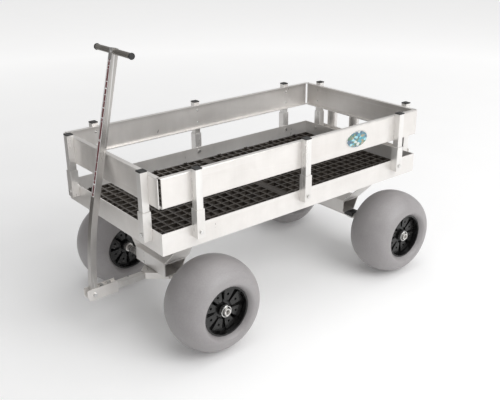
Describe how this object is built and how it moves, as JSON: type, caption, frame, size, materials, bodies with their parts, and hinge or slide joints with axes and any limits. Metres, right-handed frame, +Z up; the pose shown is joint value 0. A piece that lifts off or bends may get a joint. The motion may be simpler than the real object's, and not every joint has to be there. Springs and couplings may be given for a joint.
{
  "type": "beach cart",
  "caption": "Aluminium beach cart with a grated tray, lift-out rail panels, balloon wheels, a steered pull handle and upright rod holders at the back.",
  "frame": {"origin": "on the ground under the middle of the cart's overall length and width", "axes": "+X points forward to the handle and is the longest extent, +Y points to the cart's left, +Z is up"},
  "size_m": [1.2592, 0.74, 0.8918],
  "materials": {
    "aluminium_sheet": "satin",
    "aluminium_tube": "satin",
    "bright_steel": "satin",
    "floor_plastic": "matte",
    "black_plastic": "matte",
    "wheel_plastic": "satin",
    "grey_tyre": "satin",
    "white_nylon": "satin",
    "dark_tube": "satin",
    "label_tape": "satin",
    "badge_gloss": "gloss"
  },
  "bodies": {
    "chassis": {"deck_side_left": "aluminium_sheet", "deck_side_right": "aluminium_sheet", "deck_end_front": "aluminium_sheet", "deck_end_rear": "aluminium_sheet", "floor_bearers": "aluminium_sheet", "floor_grating_front": "floor_plastic", "floor_grating_rear": "floor_plastic", "floor_joiner": "floor_plastic", "side_sockets": "aluminium_tube", "end_sockets": "aluminium_tube", "socket_bolts": "bright_steel", "front_pedestal": "aluminium_sheet", "rear_pedestal": "aluminium_sheet", "front_axle_box": "aluminium_sheet", "rear_axle_box": "aluminium_sheet", "rear_axle": "aluminium_tube", "rear_axle_saddles": "black_plastic", "rear_axle_straps": "bright_steel", "lynch_pins_rear": "bright_steel", "kingpin": "bright_steel", "swivel_washer": "white_nylon", "rod_holders": "aluminium_tube", "rod_holder_rail": "aluminium_sheet", "front_panel": "aluminium_sheet", "front_stakes": "aluminium_tube", "front_stake_caps": "black_plastic", "front_panel_bolts": "bright_steel"},
    "steering": {"steering_yoke": "aluminium_sheet", "front_axle": "aluminium_tube", "tongue_bar": "aluminium_tube", "tongue_clevis": "aluminium_sheet", "tongue_bolts": "bright_steel", "handle_pivot_bolt": "bright_steel", "lynch_pins_front": "bright_steel"},
    "handle": {"handle_post": "aluminium_tube", "handle_crossbar": "dark_tube", "handle_end_caps": "black_plastic", "crossbar_bolt": "bright_steel", "handle_label": "label_tape"},
    "left_side": {"left_panel": "aluminium_sheet", "left_stakes": "aluminium_tube", "left_stake_caps": "black_plastic", "left_panel_bolts": "bright_steel", "side_badge": "badge_gloss"},
    "right_side": {"right_panel": "aluminium_sheet", "right_stakes": "aluminium_tube", "right_stake_caps": "black_plastic", "right_panel_bolts": "bright_steel"},
    "rear_side": {"rear_panel": "aluminium_sheet", "rear_stakes": "aluminium_tube", "rear_stake_caps": "black_plastic", "rear_panel_bolts": "bright_steel"},
    "wheel_front_left": {"tyre_front_left": "grey_tyre", "rim_front_left": "wheel_plastic"},
    "wheel_front_right": {"tyre_front_right": "grey_tyre", "rim_front_right": "wheel_plastic"},
    "wheel_rear_left": {"tyre_rear_left": "grey_tyre", "rim_rear_left": "wheel_plastic"},
    "wheel_rear_right": {"tyre_rear_right": "grey_tyre", "rim_rear_right": "wheel_plastic"}
  },
  "joints": [
    {"name": "steer", "type": "hinge", "parent": "chassis", "child": "steering", "pos_m": [0.37865, 0, 0.164], "axis": [0, 0, 1], "range_deg": [-10, 10]},
    {"name": "handle_tilt", "type": "hinge", "parent": "steering", "child": "handle", "pos_m": [0.60615, 0, 0.15], "axis": [0, 1, 0], "range_deg": [0, 105]},
    {"name": "left_side_lift", "type": "slide", "parent": "chassis", "child": "left_side", "axis": [0, 0, 1], "range_m": [0, 0.08]},
    {"name": "right_side_lift", "type": "slide", "parent": "chassis", "child": "right_side", "axis": [0, 0, 1], "range_m": [0, 0.08]},
    {"name": "rear_side_lift", "type": "slide", "parent": "chassis", "child": "rear_side", "axis": [0, 0, 1], "range_m": [0, 0.08]},
    {"name": "wheel_front_left_spin", "type": "hinge", "parent": "steering", "child": "wheel_front_left", "pos_m": [0.35465, 0.282, 0.15], "axis": [0, 1, 0], "continuous": true},
    {"name": "wheel_front_right_spin", "type": "hinge", "parent": "steering", "child": "wheel_front_right", "pos_m": [0.35465, -0.282, 0.15], "axis": [0, 1, 0], "continuous": true},
    {"name": "wheel_rear_left_spin", "type": "hinge", "parent": "chassis", "child": "wheel_rear_left", "pos_m": [-0.45235, 0.282, 0.15], "axis": [0, 1, 0], "continuous": true},
    {"name": "wheel_rear_right_spin", "type": "hinge", "parent": "chassis", "child": "wheel_rear_right", "pos_m": [-0.45235, -0.282, 0.15], "axis": [0, 1, 0], "continuous": true}
  ]
}
